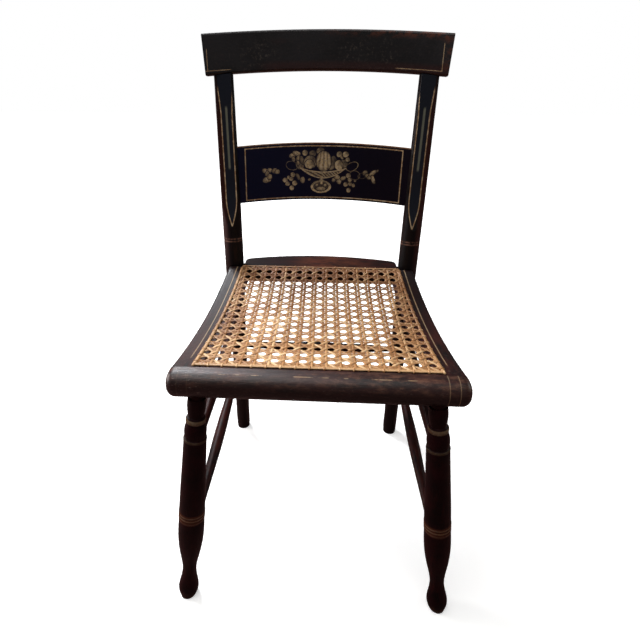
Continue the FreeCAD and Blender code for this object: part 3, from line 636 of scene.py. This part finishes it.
def rollPaint():
    shade = paintedShade("rollPaint", seat["rollSpecular"])
    spot = shade.place()
    colour, rough, relief = ground(shade, spot, "x", 1.2, 0.75)
    x = shade.part(spot, "X")
    upper = shade.part(spot, "Z").rise(*seat["rollTop"])
    # the top of the roll is painted lighter: dust, and a painted sheen
    dustAndSheen = shade.noise(spot, 0.14, 5, 0.75, (0.4, 1, 1)).rise(0.42, 0.7) * upper
    colour = shade.mix(dustAndSheen * (0.4 + x.rise(-40, 120) * 0.2), colour, seat["dustAndSheenTone"])
    dark = shade.noise(spot, 0.05, 5, 0.7, (0.25, 1, 1)).rise(0.42, 0.64)
    dark = dark * (0.35 + x.fall(-160, 40) * 0.35)
    # painted shade: below its top the roll is painted black, besides the dark streaks
    colour = shade.mix(dark.atLeast((1 - upper) * 0.85), colour, paint["black"])
    # pale flecks, most at the left end: scratches and painted glints
    colour = flecks(shade, spot, colour, x.fall(-215, -90) * 0.4 + 0.08)
    half, soft = seat["lineHalf"], seat["lineSoft"]
    # a line along the top, of which only pieces are left
    pieces = shade.noise(shade.flat(x * 0.03, 7.0), 1.0, 3, 0.6).rise(0.5, 0.56)
    line = shade.part(spot, "Y").band(seat["rollLine"], half, soft) * upper.rise(0.3, 0.5)
    line = line * abs(x).fall(160, 166) * pieces * 0.8
    # two hoops round each end, nearly gone on the left
    inner, outer = [abs(x).band(place, half, soft) for place in seat["hoops"]]
    hoops = inner.atLeast(outer) * (0.08 + x.rise(-20, 20) * 0.4)
    colour, rough, _ = gild(shade, spot, colour, rough, line.atLeast(hoops), 0.6)
    return shade.finish(colour, rough, relief, seat["rollRelief"])


def rearRailPaint():
    # black, with the middle of its top rubbed down to the brown
    shade = paintedShade("rearRailPaint", paint["dullSpecular"])
    spot = shade.place()
    colour, rough, relief = ground(shade, spot, "x", 0.8, 0.4)
    side = shade.part(spot, "X")
    colour = shade.mix(side.fall(-90, 10) * 0.6, colour, paint["black"])
    rubbed = shade.noise(spot, 0.12, 5, 0.75, (0.25, 1, 1)).rise(0.38, 0.6)
    rubbed = rubbed * side.band(25, 65, 40) * shade.facing((0, 0, 1))
    colour = shade.mix(rubbed * 0.45, colour, paint["wornRed"])
    return shade.finish(colour, rough, relief, paint["relief"])


# the unpainted wood of the pegs, pins and dowels
wood = {"dark": tint(96, 62, 38), "light": tint(140, 100, 66), "relief": 0.0001}


def bareWood():
    shade = Shade(bpy.data.materials.new("bareWood"))
    fine = shade.noise(shade.place(), 0.8, 4, 0.6, grainStretch["y"])
    colour = shade.mix(fine, wood["dark"], wood["light"])
    return shade.finish(colour, 0.6 + fine * 0.1, fine, wood["relief"])


# the woven cane, its strands in mm
cane = {
    "pitch": 20.0,
    "pairHalf": 2.8,
    "width": 3.8,
    "thickness": 0.35,
    # how much higher a strand's middle is than its edges
    "crown": 0.12,
    "step": 2.4,
    "crossStep": 5.0,
    "rows": 17,
    # height over the seat, and how far the strands swing from it
    "middle": 0.9,
    "lift": 0.5,
    "crossLift": 0.06,
    "diagonalLift": 0.7,
    "relief": 0.00004,
    "tan": tint(180, 128, 78),
    "pale": tint(226, 188, 140),
    "brown": tint(106, 62, 32),
}

# depth behind the seat's front and height of three places on the dished seat
saddle = {"front": (28.0, 449.0), "middle": (195.5, 432.5), "rear": (363.0, 446.0)}


def circleThrough(first, second, third):
    # centre and radius in the (depth, height) plane
    ax, ay = first
    bx, by = second
    cx, cy = third
    d = 2 * (ax * (by - cy) + bx * (cy - ay) + cx * (ay - by))
    a, b, c = ax * ax + ay * ay, bx * bx + by * by, cx * cx + cy * cy
    x = (a * (by - cy) + b * (cy - ay) + c * (ay - by)) / d
    y = (a * (cx - bx) + b * (ax - cx) + c * (bx - ax)) / d
    return x, y, math.hypot(ax - x, ay - y)


sagY, sagZ, sagRadius = circleThrough(saddle["front"], saddle["middle"], saddle["rear"])


def saddleHeight(y):
    # height of the seat frame's top at a depth of the frame
    depth = y + middleDepth
    if depth > saddle["rear"][0]:
        return saddle["rear"][1]
    return sagZ - math.sqrt(sagRadius ** 2 - (depth - sagY) ** 2)


def holeLine(y):
    # half width between the side rows of holes
    share = (y - seat["frontHoles"]) / (seat["rearHoles"] - seat["frontHoles"])
    return seat["frontHalf"] + (seat["rearHalf"] - seat["frontHalf"]) * share


def layRibbon(bm, start, end, width, rise, step, crown=cane["crown"]):
    # a flat strand from start to end in plan; rise gives its height over the seat
    start, end = Vector(start), Vector(end)
    run = end - start
    steps = max(4, round(run.length / step))
    direction = run.normalized()
    middle = (start + end) / 2
    place = (Matrix.Translation((middle.x, middle.y, 0))
             @ Matrix.Rotation(math.atan2(run.y, run.x), 4, "Z")
             @ Matrix.Diagonal((run.length / 2, width / 2, 1, 1)))
    uv = bm.loops.layers.uv.verify()
    tone = bm.verts.layers.float.get("tone") or bm.verts.layers.float.new("tone")
    made = bmesh.ops.create_grid(bm, x_segments=steps, y_segments=2, size=1, matrix=place)
    shade = random.random()
    offset = random.random() * 500
    for vert in made["verts"]:
        along = (vert.co.xy - start).dot(direction)
        across = (vert.co.xy - start).dot(Vector((-direction.y, direction.x)))
        centre = start + direction * along
        share = 2 * across / width
        height = saddleHeight(centre.y) + rise(centre.x, centre.y, along)
        vert.co.z = height + crown * (1 - share * share)
        vert[tone] = shade
        for loop in vert.link_loops:
            loop[uv].uv = (along + offset, share)


def finishStrands(bm, name, material, node=None, thickness=cane["thickness"]):
    bmesh.ops.transform(bm, matrix=Matrix.Scale(mm, 4), verts=bm.verts)
    for face in bm.faces:
        face.smooth = True
    mesh = bpy.data.meshes.new(name)
    bm.to_mesh(mesh)
    bm.free()
    piece = bpy.data.objects.new(name, mesh)
    bpy.context.scene.collection.objects.link(piece)
    mesh.materials.append(material)
    solid = piece.modifiers.new("thickness", "SOLIDIFY")
    solid.thickness = thickness * mm
    solid.offset = 0
    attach(piece, "root")
    if node:
        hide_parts(node)


def swing(value):
    # a cosine with flattened tops
    return max(-1.0, min(1.0, 1.5 * math.cos(2 * math.pi * value)))


def caneShade(name, paleness):
    shade = Shade(bpy.data.materials.new(name))
    uv = shade.add("ShaderNodeUVMap", {"uv_map": "UVMap"})
    along = shade.part(uv, "X")
    across = shade.part(uv, "Y")
    tone = shade.add("ShaderNodeAttribute", {"attribute_name": "tone"}, out="Fac")
    fibre = shade.noise(shade.flat(along * 0.05, across * 6.0), 1.0, 3, 0.6)
    spot = shade.place()
    stain = shade.noise(spot, 0.012, 4, 0.6)
    patch = shade.noise(shade.flat(along * 0.03, tone * 40.0), 1.0, 3, 0.6)
    pale = (tone * 0.5 + patch * 0.6 + paleness).rise(0.3, 0.85)
    colour = shade.mix(pale, cane["tan"], cane["pale"])
    y = shade.part(spot, "Y")
    margin = abs(shade.part(spot, "X")).rise(80, 160) * y.rise(-190, -20) * 0.45
    brown = (stain * 0.7 + fibre * 0.25 + (1 - tone) * 0.2).rise(0.45, 0.85)
    # browner at the sides behind the front, and towards the rear as painted shade under the back
    brown = brown * 0.6 + margin.atLeast(y.rise(-60, 150) * 0.55)
    colour = shade.mix(brown.atMost(0.9), colour, cane["brown"])
    edge = abs(across).rise(0.55, 1.0)
    colour = shade.mix(edge * 0.45, colour, cane["brown"])
    return shade.finish(colour, 0.38 + fibre * 0.16, fibre, cane["relief"])


def buildCane(under, over):
    pitch = cane["pitch"]
    front, rear = seat["frontHoles"], seat["rearHoles"]
    slope = (seat["frontHalf"] - seat["rearHalf"]) / (rear - front)

    def overRows(y):
        # 1 at a pair of cross strands, 0 midway between pairs
        return 0.5 - 0.5 * swing((y - front) / pitch)

    # front to back pairs, the left strand under the cross strands and the right one over
    bm = bmesh.new()
    for column in range(-9, 9):
        for side in (-1, 1):
            x = (column + 0.5) * pitch + side * cane["pairHalf"]
            end = min(rear, front + (seat["frontHalf"] - abs(x)) / slope)
            if abs(x) > seat["frontHalf"] or end - front < pitch:
                continue
            layRibbon(bm, (x, front), (x, end), cane["width"],
                      lambda x, y, s: cane["middle"] + side * cane["lift"] * overRows(y),
                      cane["step"])
    finishStrands(bm, "cane_long_strands", under, "cane_panel")

    # side to side pairs
    bm = bmesh.new()
    for row in range(cane["rows"]):
        for side in (-1, 1):
            y = front + (row + 0.5) * pitch + side * cane["pairHalf"]
            reach = holeLine(y)
            layRibbon(bm, (-reach, y), (reach, y), cane["width"],
                      lambda x, y, s: cane["middle"] + cane["crossLift"] * swing(x / pitch),
                      cane["crossStep"])
    finishStrands(bm, "cane_cross_strands", under)

    # the two sets of diagonals; one lies over the long pairs, the other over the cross pairs
    for turn, name in ((1, "cane_diagonals_right"), (-1, "cane_diagonals_left")):
        bm = bmesh.new()
        for number in range(-9, 27):
            shift = (number + 0.5) * pitch
            low = max(-shift, -(seat["frontHalf"] - slope * shift) / (1 - slope))
            high = min(rear - front - shift, (seat["frontHalf"] - slope * shift) / (1 + slope))
            if high - low < pitch * 0.6:
                continue
            layRibbon(bm, (turn * low, front + low + shift), (turn * high, front + high + shift),
                      cane["width"], lambda x, y, s: cane["middle"]
                      - turn * cane["diagonalLift"] * swing(x / pitch), cane["step"])
        finishStrands(bm, name, over)


def holePlaces():
    places = {"front": [], "rear": [], "left": [], "right": []}
    for column in range(-9, 9):
        x = (column + 0.5) * cane["pitch"]
        if abs(x) <= seat["frontHalf"]:
            places["front"].append((x, seat["frontHoles"]))
        if abs(x) <= seat["rearHalf"]:
            places["rear"].append((x, seat["rearHoles"]))
    for row in range(cane["rows"]):
        y = seat["frontHoles"] + (row + 0.5) * cane["pitch"]
        places["left"].append((-holeLine(y), y))
        places["right"].append((holeLine(y), y))
    return places


# the strip bound over each row of holes, and its stitches
binding = {
    "overlap": 2.5,
    "cornerGap": 3.0,
    "width": 4.8,
    "thickness": 0.5,
    "height": 2.0,
    "wave": 0.12,
    "crown": 0.45,
    "step": 2.5,
    # the strip dips at its ends: how deep and over what length
    "endDip": 1.2,
    "endLength": 3,
    "stitchHalf": 3.7,
    "stitchWidth": 2.4,
    "stitchHeight": 2.95,
    "stitchDrop": 1.9,
    "stitchCrown": 0.15,
    "stitchStep": 0.8,
    "stitchTilt": 0.7,
}


def buildBinding(material):
    front, rear = seat["frontHoles"], seat["rearHoles"]
    past, gap = binding["overlap"], binding["cornerGap"]
    tilts = binding["stitchTilt"]
    ends = {
        "front": ((-seat["frontHalf"] - past, front), (seat["frontHalf"] + past, front)),
        "rear": ((-seat["rearHalf"] - past, rear), (seat["rearHalf"] + past, rear)),
        "left": ((-holeLine(front + gap), front + gap), (-holeLine(rear - gap), rear - gap)),
        "right": ((holeLine(front + gap), front + gap), (holeLine(rear - gap), rear - gap)),
    }
    for name, (start, end) in ends.items():
        bm = bmesh.new()
        length = (Vector(end) - Vector(start)).length

        def strip(x, y, s, length=length):
            dip = max(0, 1 - min(s, length - s) / binding["endLength"])
            wave = binding["wave"] * swing(s / cane["pitch"])
            return binding["height"] + wave - binding["endDip"] * dip
        layRibbon(bm, start, end, binding["width"], strip, binding["step"], binding["crown"])
        direction = (Vector(end) - Vector(start)).normalized()
        side = Vector((-direction.y, direction.x)) * binding["stitchHalf"]
        for x, y in holePlaces()[name]:
            tilt = direction * random.uniform(-tilts, tilts)
            low = Vector((x, y)) - side - tilt
            high = Vector((x, y)) + side + tilt
            base = saddleHeight(y)

            def loop(px, py, s, base=base, span=(high - low).length):
                share = 2 * s / span - 1
                drop = binding["stitchDrop"] * share ** 6
                return base - saddleHeight(py) + binding["stitchHeight"] - drop
            layRibbon(bm, low, high, binding["stitchWidth"], loop, binding["stitchStep"],
                      binding["stitchCrown"])
        finishStrands(bm, "cane_binding_" + name, material, "cane_binder_" + name,
                      binding["thickness"])


def coat(material, *nodeNames):
    for name in nodeNames:
        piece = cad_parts[name]
        if not piece.material_slots:
            piece.data.materials.append(material)
        for place in piece.material_slots:
            place.material = material


coat(postPaint(), "back_post_left", "back_post_right")
coat(crestPaint(), "crest_rail")
coat(slatPaint(), "back_slat")
coat(legPaint(), "front_leg_left", "front_leg_right")
coat(railPaint(), "seat_side_rail_left", "seat_side_rail_right")
coat(rollPaint(), "seat_roll", "seat_front_rail")
coat(rearRailPaint(), "seat_rear_rail")
coat(plainPaint("rearStretcherPaint", "x", 0.8, 0.3), "rear_stretcher")
coat(plainPaint("stretcherPaint", "y", 1.0, 0.35), "upper_stretcher_left",
     "upper_stretcher_right", "lower_stretcher_left", "lower_stretcher_right")
coat(bareWood(), "crest_pegs", "slat_pins", "seat_dowels", "cane_pegs")
print("finishes on the painted pieces")

# the strands under the diagonals get less paleness: painted shade beneath the diagonals, with dirt
buildCane(caneShade("caneUnder", -0.15), caneShade("caneOver", -0.02))
buildBinding(caneShade("caneBinding", -0.02))
print("cane woven and bound")

# floor, lights and camera
studio = {
    "floorSize": 14.0,
    "floorSeen": (0.86, 0.86, 0.86, 1),
    "floorReflected": (0.20, 0.10, 0.09, 1),
    # the floor's own white to the camera: under the chair, and what is added far out
    "floorGlow": (0.5, 0.6),
    "floorFade": (0.9, 2.6),
    "worldLight": 0.08,
    "lampTarget": (0, 0, 0.4),
    "cameraPlace": (0.0010, -0.4668 - middleDepth * mm, 0.820228),
    "cameraTurn": (60.14, 0.0, 3.17),
    "lens": 25.61,
    "shift": (0.0352, -0.0080),
    # place, size, strength, colour
    "lamps": {
        "backLeftSoftbox": ((-1.15, 1.45, 2.2), 0.8, 80, (0.93, 0.96, 1.0)),
        "topSoftbox": ((-0.6, -0.4, 3.0), 1.8, 46, (1.0, 0.99, 0.97)),
        "frontFill": ((0.8, -2.6, 2.0), 2.2, 3, (1.0, 0.98, 0.95)),
        "leftStrip": ((-2.3, 0.3, 0.9), 0.6, 34, (1.0, 0.97, 0.97)),
        "rightStrip": ((2.3, 0.4, 1.3), 0.8, 10, (1.0, 0.97, 0.93)),
    },
}


def buildFloor():
    bm = bmesh.new()
    bmesh.ops.create_grid(bm, x_segments=4, y_segments=4, size=studio["floorSize"] / 2)
    mesh = bpy.data.meshes.new("floor")
    bm.to_mesh(mesh)
    bm.free()
    floor = bpy.data.objects.new("floor", mesh)
    bpy.context.scene.collection.objects.link(floor)
    shade = Shade(bpy.data.materials.new("floorPaper"))
    spot = shade.add("ShaderNodeTexCoord", out="Object")
    far = shade.vector("LENGTH", spot, out="Value").rise(*studio["floorFade"])
    camera = shade.add("ShaderNodeLightPath", out="Is Camera Ray")
    colour = shade.mix(camera, studio["floorReflected"], studio["floorSeen"])
    paper = shade.add("ShaderNodeBsdfDiffuse", None, [colour])
    near, added = studio["floorGlow"]
    lit = shade.add("ShaderNodeEmission", None, [(1, 1, 1, 1), camera * (near + far * added)])
    both = shade.add("ShaderNodeAddShader", None, [paper, lit])
    shade.add("ShaderNodeOutputMaterial", None, [both])
    mesh.materials.append(shade.owner)


def buildWorld():
    shade = Shade(bpy.data.worlds.new("studio"))
    camera = shade.add("ShaderNodeLightPath", out="Is Camera Ray")
    strength = camera * (1 - studio["worldLight"]) + studio["worldLight"]
    light = shade.add("ShaderNodeBackground", None, [(1, 1, 1, 1), strength])
    shade.add("ShaderNodeOutputWorld", None, [light])
    bpy.context.scene.world = shade.owner


def buildLamps():
    target = Vector(studio["lampTarget"])
    for name, (place, size, power, colour) in studio["lamps"].items():
        lamp = bpy.data.lights.new(name, "AREA")
        lamp.size = size
        lamp.energy = power
        lamp.color = colour
        holder = bpy.data.objects.new(name, lamp)
        bpy.context.scene.collection.objects.link(holder)
        holder.visible_camera = False
        holder.location = place
        holder.rotation_euler = (target - Vector(place)).to_track_quat("-Z", "Y").to_euler()


def buildCamera():
    data = bpy.data.cameras.new("camera")
    data.lens = studio["lens"]
    data.sensor_width = 36
    data.shift_x, data.shift_y = studio["shift"]
    data.clip_start = 0.02
    data.clip_end = 60
    camera = bpy.data.objects.new("camera", data)
    bpy.context.scene.collection.objects.link(camera)
    camera.location = studio["cameraPlace"]
    camera.rotation_euler = [math.radians(angle) for angle in studio["cameraTurn"]]
    bpy.context.scene.camera = camera


buildFloor()
buildWorld()
buildLamps()
buildCamera()
bpy.context.scene.view_settings.view_transform = "Standard"
print("studio ready")
